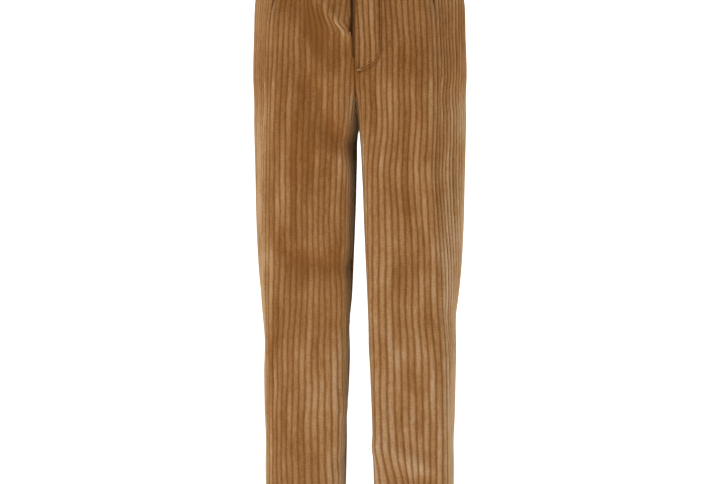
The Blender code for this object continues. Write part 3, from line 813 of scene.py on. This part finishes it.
def sew_shield():
    """The strip behind the fly opening."""
    form = Form("left", "front", BAND_BOTTOM - SEAM_GAP, FORK_TOP)
    past = np.linspace(-SHIELD_LEFT, -SHIELD_RIGHT, 5 * WALE_STEPS + 1)
    distances = form.lengths[:, None] + past[None]
    z = np.repeat(form.z[:, None], distances.shape[1], axis=1)
    depth = WALL + SEAM_GAP + SHIELD_SLACK
    points, normals = form.at(distances), form.normals(distances)
    outer, inner = points - normals * depth, points - normals * (depth + SHIELD_WALL)
    u = (past[None] + z * 0) / WALE_PITCH
    return cloth_mesh("fly_shield_cloth", outer, inner, u, z)


def waist_path(z):
    """Points once round the waist at height z, from the front's middle over the wearer's left."""
    ring = []
    for side in SIDES:
        front, back = body_halves(side, z)
        half = front[::-1] + back[1:]
        half = [(x * SIDES[side], y) for x, y in half]
        ring += half if side == "left" else half[::-1][1:]
    return np.array(ring)


def band_points(z, distances, lift):
    """Points of the band at height z and these distances round the waist, lifted outward."""
    path = waist_path(z)
    marks = line_marks(path)

    def at(places):
        places = places % marks[-1]
        return np.stack((np.interp(places, marks, path[:, 0]),
                         np.interp(places, marks, path[:, 1])), axis=1)

    scale = marks[-1] / line_marks(waist_path(0.0))[-1]
    places = distances * scale
    along = at(places + 0.004) - at(places - 0.004)
    along /= np.linalg.norm(along, axis=1, keepdims=True)
    outward = np.stack((along[:, 1], -along[:, 0]), axis=1)
    spots = at(places) + outward * np.asarray(lift)[..., None]
    return np.concatenate((spots, np.full((len(distances), 1), z)), axis=1)


def band_inward(distances):
    """How far the band has stepped in where its right end runs under its left end."""
    waist = line_marks(waist_path(0.0))[-1]
    step_in = BAND_WALL + WALE_RISE + SEAM_GAP
    return step_in * smooth((distances - waist + BAND_RAMP) / BAND_RAMP)


def sew_waistband():
    """The band once round the waist, its wales running along it."""
    waist = line_marks(waist_path(0.0))[-1]
    distances = np.linspace(0.0, waist + BAND_LAP, BAND_COLUMNS)
    steps = BAND_WALES * WALE_STEPS
    heights = np.linspace(BAND_BOTTOM, BAND_TOP, steps + 1)
    wales = np.arange(steps + 1) / WALE_STEPS
    inward = band_inward(distances)
    sheets = ([], [])
    for z, wale in zip(heights, wales):
        from_stitch = min(z - BAND_BOTTOM, BAND_TOP - z) - BAND_STITCH_INSET
        press = BAND_STITCH_PULL * math.exp(-(from_stitch / BAND_STITCH_WIDTH)**2)
        uneven = BAND_UNEVEN * np.sin(distances * 61 + z * 90)
        lift = float(wale_relief("left front", wale)) - press + uneven
        lift = lift * smooth(distances / 0.003)
        sheets[0].append(band_points(z, distances, lift - inward))
        sheets[1].append(band_points(z, distances, -BAND_WALL - inward))
    outer, inner = np.array(sheets[0]), np.array(sheets[1])
    v = np.repeat(distances[None], steps + 1, axis=0)
    u = np.repeat(wales[:, None], len(distances), axis=1)
    return cloth_mesh("waistband_cloth", outer, inner, u, v)


# ---------------------------------------------------------------- stitches and button

def stitch_row(bm, points, normals):
    """Short rounded stitches along a path that lies on the cloth."""
    marks = np.concatenate(([0.0], np.cumsum(np.linalg.norm(np.diff(points, axis=0), axis=1))))
    count = max(int(marks[-1] / (STITCH_LENGTH + STITCH_GAP)), 1)

    def along(values, place):
        return Vector([np.interp(place, marks, values[:, axis]) for axis in range(3)])

    for k in range(count):
        middle = (k + 0.5) * marks[-1] / count
        up = along(normals, middle).normalized()
        a, b = (along(points, middle + half) for half in (-STITCH_LENGTH / 2, STITCH_LENGTH / 2))
        add_stitch(bm, a + up * THREAD * 0.5, b + up * THREAD * 0.5, up, THREAD)


def add_stitch(bm, a, b, up, thick):
    """One stitch: a small round body drawn out between two points."""
    run = b - a
    along = run.normalized()
    across = up.cross(along).normalized()
    up = along.cross(across)
    turn = Matrix((along, across, up)).transposed().to_4x4()
    size = Matrix.Diagonal((run.length / 2 + thick, thick, thick, 1.0))
    bmesh.ops.create_icosphere(bm, subdivisions=1, radius=1.0,
                               matrix=Matrix.Translation((a + b) / 2) @ turn @ size)


def on_front(form, xs, zs, lift):
    """Points and normals on the front's cloth at places in x and z, lifted off it."""
    points, normals = [], []
    fine = np.linspace(0.0, 1.0, 240)
    for x, z in zip(xs, zs):
        row = int(np.argmin(np.abs(form.z - z)))
        marks, line = form.lines[row]
        places = fine * form.lengths[row]
        line_x = np.interp(places, marks, line[:, 0])
        distance = places[int(np.argmin(np.abs(line_x - abs(x))))]
        everywhere = np.full((len(form.z), 1), distance)
        normal = form.normals(everywhere)[row, 0]
        point = form.at(everywhere)[row, 0]
        point[2] = z
        points.append((point + normal * lift) * (form.sign, 1, 1))
        normals.append(normal * (form.sign, 1, 1))
    return np.array(points), np.array(normals)


def drawn_through(places, count):
    """Even points along a polyline of (x, z) places."""
    line = np.array([(p.x, p.z) for p in places])
    marks = line_marks(line)
    want = np.linspace(0.0, marks[-1], count)
    return np.interp(want, marks, line[:, 0]), np.interp(want, marks, line[:, 1])


def sew_fly_stitches():
    """Two rows of stitches down the J of the fly."""
    form = Form("left", "front", BAND_BOTTOM - SEAM_GAP, FORK_TOP - 0.020)
    bm = bmesh.new()
    xs, zs = drawn_through(FLY_STITCHES, 90)
    for inset in FLY_ROWS:
        points, normals = on_front(form, xs - inset * (zs > FLY_TURN),
                                   zs + inset * (zs <= FLY_TURN), 0.0006)
        stitch_row(bm, points, normals)
    return finished("fly_stitching", bm)


def bar_tack(bm, middle, along, outward, length, width):
    """A short dense bar of stitches laid side by side."""
    along, outward = along.normalized(), outward.normalized()
    across = outward.cross(along).normalized()
    count = int(length / TACK_STEP)
    for k in range(count):
        spot = middle + along * ((k + 0.5) / count - 0.5) * length
        add_stitch(bm, spot - across * width / 2, spot + across * width / 2, outward, TACK_THREAD)


def sew_tacks():
    """Bar tacks at the ends of the pocket mouths and beside the fly."""
    bm = bmesh.new()
    for side, sign in SIDES.items():
        form = Form(side, "front", BAND_BOTTOM - SEAM_GAP, FORK_TOP)
        x = read(BODY, -0.092, "seam_" + side) - 0.0035
        points, normals = on_front(form, [x], [-0.094], 0.0013)
        bar_tack(bm, Vector(points[0]), Vector((0.15 * sign, 0, 1)), Vector(normals[0]), 0.009, 0.0030)
    for tack in TACKS_ON_FLY:
        form = Form(tack.side, "front", BAND_BOTTOM - SEAM_GAP, FORK_TOP - 0.020)
        points, normals = on_front(form, [tack.x], [tack.z], 0.0012)
        bar_tack(bm, Vector(points[0]), Vector(tack.tilt), Vector(normals[0]), tack.length, tack.width)
    return finished("bar_tacks", bm)


def sew_mouth_stitches():
    """Two rows of stitches beside each pocket mouth."""
    bm = bmesh.new()
    for side in SIDES:
        form = Form(side, "front", BAND_BOTTOM - SEAM_GAP, FORK_TOP)
        rows = np.flatnonzero(form.z >= MOUTH_END - 0.001)
        for inset in MOUTH_ROWS:
            distances = (mouth_offset(form.z) + inset)[:, None]
            points = form.placed(distances, np.full_like(distances, 0.0010))[rows, 0]
            normals = form.normals(distances)[rows, 0] * (form.sign, 1, 1)
            stitch_row(bm, points, normals)
    return finished("pocket_stitching", bm)


def sew_hem_stitches():
    """One row of stitches round each hem."""
    bm = bmesh.new()
    z = HEM + HEM_TURN - HEM_STITCH_INSET
    for side, sign in SIDES.items():
        front, back = leg_halves(side, z, LEG)
        ring = np.array(front + back[::-1][1:])
        marks = line_marks(ring)
        want = np.linspace(0.0, marks[-1], 240)
        xs, ys = np.interp(want, marks, ring[:, 0]), np.interp(want, marks, ring[:, 1])
        along = np.stack((np.gradient(xs), np.gradient(ys)), axis=1)
        along /= np.linalg.norm(along, axis=1, keepdims=True)
        outward = np.stack((-along[:, 1], along[:, 0]), axis=1)
        centre = np.array((xs.mean(), ys.mean()))
        if np.sum((np.stack((xs, ys), axis=1) - centre) * outward) < 0:
            outward = -outward
        lift = 0.0004
        points = np.stack(((xs + outward[:, 0] * lift) * sign, ys + outward[:, 1] * lift,
                           np.full_like(xs, z)), axis=1)
        normals = np.stack((outward[:, 0] * sign, outward[:, 1], np.zeros_like(xs)), axis=1)
        stitch_row(bm, points, normals)
    return finished("hem_stitching", bm)


def sew_band_stitches():
    """A row of stitches near each edge of the waistband."""
    waist = line_marks(waist_path(0.0))[-1]
    bm = bmesh.new()
    distances = np.linspace(0.003, waist - 0.001, 500)
    inward = band_inward(distances)
    for z in (BAND_BOTTOM + BAND_STITCH_INSET, BAND_TOP - BAND_STITCH_INSET):
        points = band_points(z, distances, 0.0007 - inward)
        further = band_points(z, distances, 0.0027 - inward)
        stitch_row(bm, points, further - points)
    return finished("waistband_stitching", bm)


def button_place():
    """The button's seat on the band and the direction it faces."""
    top, bottom = read(BODY, BAND_TOP, "front"), read(BODY, BAND_BOTTOM, "front")
    outward = Vector((0.0, BAND_BOTTOM - BAND_TOP, top - bottom)).normalized()
    return Vector((BUTTON_X, (top + bottom) / 2, 0.0)) + outward * SEAM_GAP, outward


def turn_button():
    """A four-hole button with a raised rim, turned about its own axis."""
    seat, outward = button_place()
    across = Vector((1.0, 0.0, 0.0))
    radius, rim, dish = BUTTON_RADIUS, BUTTON_RIM, BUTTON_DISH
    profile = ((0.0, 0.0), (radius * 0.90, 0.0), (radius * 0.98, rim * 0.28), (radius, rim * 0.5),
               (radius * 0.985, rim * 0.75), (radius * 0.92, rim * 0.96), (radius * 0.84, rim),
               (radius * 0.76, rim * 0.90), (radius * 0.68, dish), (radius * 0.30, dish * 0.94),
               (0.0, dish * 0.94))
    bm = bmesh.new()
    verts = [bm.verts.new(seat + across * r + outward * h) for r, h in profile]
    edges = [bm.edges.new(pair) for pair in zip(verts, verts[1:])]
    bmesh.ops.spin(bm, geom=verts + edges, cent=seat, axis=outward,
                   angle=math.tau, steps=64, use_merge=True)
    bmesh.ops.remove_doubles(bm, verts=bm.verts, dist=1e-6)
    bmesh.ops.recalc_face_normals(bm, faces=bm.faces)
    for face in bm.faces:
        face.smooth = True
    return finished("button", bm)


def button_corners():
    """The four holes of the button."""
    seat, outward = button_place()
    across = Vector((1.0, 0.0, 0.0))
    up = outward.cross(across).normalized()
    middle = seat + outward * 0.00145
    steps = (-BUTTON_HOLE_STEP, BUTTON_HOLE_STEP)
    return [middle + across * x + up * z for x in steps for z in steps]


def sew_button_thread():
    """Thread through the button's holes, and the worked edge of the buttonhole."""
    seat, outward = button_place()
    bm = bmesh.new()
    corners = button_corners()
    for a, b in ((0, 1), (2, 3)):
        for shift in (-0.0005, 0.0, 0.0005):
            side = Vector((shift, 0.0, 0.0))
            add_stitch(bm, corners[a] + side, corners[b] + side, outward, 0.00036)
    up = outward.cross(Vector((1.0, 0.0, 0.0))).normalized()
    for k in range(BUTTONHOLE_STITCHES):
        x = BUTTONHOLE_START + BUTTONHOLE_LENGTH * k / (BUTTONHOLE_STITCHES - 1)
        for side in (-1, 1):
            spot = Vector((x, seat.y, seat.z)) + up * side * 0.0016 + outward * 0.0004
            add_stitch(bm, spot - up * 0.0010, spot + up * 0.0010, outward, 0.00032)
    return finished("button_thread", bm)


def make_hole_shadows():
    """Dark cups in the button's holes: a painted shadow for the shade inside each hole."""
    bm = bmesh.new()
    seat, outward = button_place()
    turn = outward.to_track_quat("Z", "Y").to_matrix().to_4x4()
    for corner in button_corners():
        bmesh.ops.create_cone(bm, segments=16, radius1=0.0008, radius2=0.0009, depth=0.0006,
                              cap_ends=True,
                              matrix=Matrix.Translation(corner - outward * 0.0002) @ turn)
    return finished("button_hole_shadows", bm)


# ---------------------------------------------------------------- finishes

class Strand:
    """A value or colour on its way through a finish; sums of strands add Math nodes."""

    def __init__(self, finish, socket):
        self.finish, self.socket = finish, socket

    def math(self, operation, *values):
        sockets = dict(enumerate(values))
        return self.finish.node("ShaderNodeMath", {"operation": operation}, sockets)

    def __add__(self, other):
        return self.math("ADD", self, other)

    __radd__ = __add__

    def __sub__(self, other):
        return self.math("SUBTRACT", self, other)

    def __rsub__(self, other):
        return self.math("SUBTRACT", other, self)

    def __mul__(self, other):
        return self.math("MULTIPLY", self, other)

    __rmul__ = __mul__

    def apart(self, count):
        """The separate numbers of a vector."""
        split = self.finish.node("ShaderNodeSeparateXYZ", {}, {"Vector": self}).socket.node
        return [Strand(self.finish, split.outputs[k]) for k in range(count)]


class Finish:
    """A material being put together."""

    def __init__(self, name):
        self.material = bpy.data.materials.new(name)
        self.material.use_nodes = True
        self.tree = self.material.node_tree
        self.shader = self.tree.nodes["Principled BSDF"]

    def node(self, kind, settings, sockets, output=0):
        """One node: its settings first, then the values or links of its sockets."""
        made = self.tree.nodes.new(kind)
        for key, value in settings.items():
            if key == "stops":
                while len(made.color_ramp.elements) < len(value):
                    made.color_ramp.elements.new(0.5)
                for element, (place, color) in zip(made.color_ramp.elements, value):
                    element.position, element.color = place, (*color, 1.0)
            else:
                setattr(made, key, value)
        for key, value in sockets.items():
            self.join(value, made.inputs[key])
        return Strand(self, made.outputs[output])

    def join(self, value, socket):
        if isinstance(value, Strand):
            self.tree.links.new(value.socket, socket)
        else:
            socket.default_value = value

    def mix(self, share, first, second, blend="MIX"):
        def color(value):
            return value if isinstance(value, Strand) else (*value, 1.0)
        return self.node("ShaderNodeMix", {"data_type": "RGBA", "blend_type": blend},
                         {0: share, 6: color(first), 7: color(second)}, 2)

    def place(self):
        """Where a spot lies on the piece."""
        return self.node("ShaderNodeTexCoord", {}, {}, 3)

    def point(self, x, y):
        return self.node("ShaderNodeCombineXYZ", {}, {"X": x, "Y": y})

    def noise(self, place, scale, detail=2.0, roughness=0.5, distortion=0.0):
        return self.node("ShaderNodeTexNoise", {},
                         {"Vector": place, "Scale": scale, "Detail": detail,
                          "Roughness": roughness, "Distortion": distortion})

    def ranged(self, value, low, high, to_low, to_high):
        return self.node("ShaderNodeMapRange", {"interpolation_type": "SMOOTHSTEP"},
                         {"Value": value, "From Min": low, "From Max": high,
                          "To Min": to_low, "To Max": to_high})

    def set(self, **values):
        for name, value in values.items():
            self.join(value, self.shader.inputs[name.replace("_", " ")])
        return self.material


def corduroy(name):
    """Cut pile in wales: tan pile ridges, grooves darker by their bare weave and by painted groove
    shade, pile that turns from wale to wale, and the panels' worn tone with its painted light and
    shade.
    """
    finish = Finish(name)
    wale, length = finish.node("ShaderNodeUVMap", {"uv_map": "weave"}, {}).apart(2)
    body = finish.place()
    height = body.apart(3)[2]
    nap = finish.node("ShaderNodeAttribute", {"attribute_name": "nap"}, {}, 2)
    turn = wale.math("FRACT", wale)
    groove = (turn - 0.5).math("ABSOLUTE", turn - 0.5) * 2.0
    wobble = finish.noise(body, 210.0, 3.0)
    dark = finish.ranged(groove + (wobble - 0.5) * 0.40, 0.34, 0.98, 0.0, 1.0)
    pile = finish.noise(finish.point(wale * 6.0, length * 60.0), 1.0, 4.0, 0.70)
    rib = finish.noise(finish.point(wale * 1.1, length * 620.0), 1.0, 1.0, 0.5)
    each = finish.noise(finish.point(wale.math("FLOOR", wale) * 3.7, length * 7.0), 1.0, 2.0, 0.5)
    patch = finish.noise(body, 13.0, 3.0, 0.55)
    cloud = finish.noise(body, 5.0, 2.0, 0.5)
    low = finish.ranged(height, -0.95, -0.15, 0.10, -0.08)
    worn = (low + 0.5 + (pile - 0.5) * 0.80 + (each - 0.5) * 0.90
            + (patch - 0.5) * 0.45 + (cloud - 0.5) * 0.15 + (rib - 0.5) * 0.35)
    tone = worn + nap * 0.30
    ridge = finish.node("ShaderNodeValToRGB",
                        {"stops": ((0.16, (0.192, 0.073, 0.017)), (0.50, (0.322, 0.162, 0.061)),
                                   (0.84, (0.440, 0.290, 0.165)))}, {"Fac": tone})
    # colour in the grooves: the bare weave, darker, with painted groove shade on top
    ground_and_groove_shade = finish.mix(worn, (0.105, 0.033, 0.006), (0.232, 0.098, 0.027))
    color = finish.mix(dark * 0.85, ridge, ground_and_groove_shade)
    # painted shadow: below -0.8 the tone attribute turns the cloth near-black, down to -3, as in the
    # gap under the fly's edge
    color = finish.mix(finish.ranged(nap, -3.0, -0.8, 0.92, 0.0), color, (0.018, 0.007, 0.003))
    relief = (1.0 - groove * groove) * 0.4 + pile * 0.35 + rib * 0.25 + wobble * 0.15
    bump = finish.node("ShaderNodeBump", {}, {"Strength": 0.7, "Distance": 0.0013, "Height": relief})
    return finish.set(Base_Color=color, Roughness=0.95, Normal=bump, Specular_IOR_Level=0.05,
                      Sheen_Weight=0.40, Sheen_Roughness=0.40, Sheen_Tint=(1.0, 0.84, 0.50, 1.0))


def thread(name):
    """Twisted thread, dyed with the cloth."""
    finish = Finish(name)
    body = finish.place()
    twist = finish.noise(body, 1800.0, 2.0)
    color = finish.mix(twist, (0.240, 0.125, 0.050), (0.400, 0.230, 0.100))
    bump = finish.node("ShaderNodeBump", {}, {"Strength": 0.4, "Distance": 0.0002, "Height": twist})
    return finish.set(Base_Color=color, Roughness=0.75, Normal=bump)


def horn(name):
    """Brown button with soft darker clouds."""
    finish = Finish(name)
    body = finish.place()
    cloud = finish.noise(body, 260.0, 3.0, 0.6, 1.2)
    color = finish.node("ShaderNodeValToRGB",
                        {"stops": ((0.30, (0.058, 0.024, 0.010)), (0.55, (0.140, 0.062, 0.024)),
                                   (0.75, (0.250, 0.130, 0.055)))}, {"Fac": cloud})
    rough = finish.ranged(cloud, 0.3, 0.7, 0.45, 0.60)
    bump = finish.node("ShaderNodeBump", {}, {"Strength": 0.15, "Distance": 0.0002, "Height": cloud})
    return finish.set(Base_Color=color, Roughness=rough, Normal=bump)


def plain(name, color, roughness, **more):
    """A plain surface with a faint mottle."""
    finish = Finish(name)
    body = finish.place()
    mottle = finish.noise(body, 40.0)
    shade = finish.mix(mottle * 0.1, color, [c * 0.9 for c in color])
    return finish.set(Base_Color=shade, Roughness=roughness, **more)


# ---------------------------------------------------------------- putting it together

def place(piece, material, slot, *nodes):
    piece.data.materials.clear()
    piece.data.materials.append(material)
    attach(piece, "root")
    if nodes:
        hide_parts(*nodes)
    return piece


cloth = corduroy("corduroy")
sewing = thread("sewing_thread")

for part in ("front", "back"):
    for side in SIDES:
        panel = place(sew_panel(side, part), cloth, "corduroy", part + "_" + side)

for side in SIDES:
    facing = place(sew_facing(side), cloth, "corduroy", "pocket_facing_" + side)

shield = place(sew_shield(), cloth, "corduroy", "fly_shield")

band = place(sew_waistband(), cloth, "corduroy", "waistband")

for piece in (sew_fly_stitches(), sew_tacks(), sew_mouth_stitches(), sew_hem_stitches(),
              sew_band_stitches(), sew_button_thread()):
    place(piece, sewing, "corduroy")
place(turn_button(), horn("horn"), "button", "waist_button")
# near-black painted shadow inside the button's holes
place(make_hole_shadows(), plain("button_hole_shadow_paint", (0.010, 0.006, 0.004), 0.9), "button")


# ---------------------------------------------------------------- studio

FLOOR_REACH = 14.0
FLOOR_START = -10.0
BACKDROP = 9.0              # where the floor begins to curve up
SWEEP = 2.5


def make_floor():
    """A pale floor that curves up into a backdrop."""
    bm = bmesh.new()
    bmesh.ops.create_grid(bm, x_segments=8, y_segments=60, size=1.0)
    for vert in bm.verts:
        across, run = vert.co.x * FLOOR_REACH, (vert.co.y + 1.0) * FLOOR_REACH + FLOOR_START
        bend = max(run - BACKDROP, 0.0)
        turn = min(bend / SWEEP, math.pi / 2)
        rest = max(bend - SWEEP * math.pi / 2, 0.0)
        vert.co = (across, min(run, BACKDROP) + SWEEP * math.sin(turn),
                   HEM - 0.001 + SWEEP * (1 - math.cos(turn)) + rest)
    for face in bm.faces:
        face.smooth = True
    floor = finished("floor", bm)
    floor.data.materials.append(plain("floor_paper", (0.86, 0.86, 0.86), 0.9,
                                      Emission_Color=(1.0, 1.0, 1.0, 1.0), Emission_Strength=0.90))


def add_light(name, place, aim, size, power):
    light = bpy.data.lights.new(name, "AREA")
    light.shape = "RECTANGLE"
    light.size, light.size_y = size
    light.energy = power
    lamp = bpy.data.objects.new(name, light)
    lamp.location = place
    lamp.rotation_euler = (Vector(aim) - Vector(place)).to_track_quat("-Z", "Y").to_euler()
    bpy.context.scene.collection.objects.link(lamp)


make_floor()
MIDDLE = (0.0, 0.0, -0.46)
add_light("left_box", (-2.9, -1.7, 0.3), MIDDLE, (0.9, 1.8), 59.0)
add_light("right_box", (2.8, -1.3, 0.2), MIDDLE, (1.0, 2.0), 28.0)
add_light("front_fill", (0.2, -3.6, 1.2), MIDDLE, (1.6, 1.2), 12.0)

world = bpy.data.worlds.new("studio")
bpy.context.scene.world = world
world.use_nodes = True
sky = world.node_tree.nodes["Background"].inputs
sky["Color"].default_value = (1.0, 1.0, 1.0, 1.0)
sky["Strength"].default_value = 0.23
bpy.context.scene.view_settings.view_transform = "Standard"

YAW = math.radians(4.0)
DISTANCE = 3.30
camera = bpy.data.cameras.new("camera")
camera.lens = 100.0
camera.sensor_width = 36.0
viewer = bpy.data.objects.new("camera", camera)
viewer.location = (DISTANCE * math.sin(YAW), -DISTANCE * math.cos(YAW), -0.460)
viewer.rotation_euler = (math.pi / 2, 0.0, YAW)
bpy.context.scene.collection.objects.link(viewer)
bpy.context.scene.camera = viewer
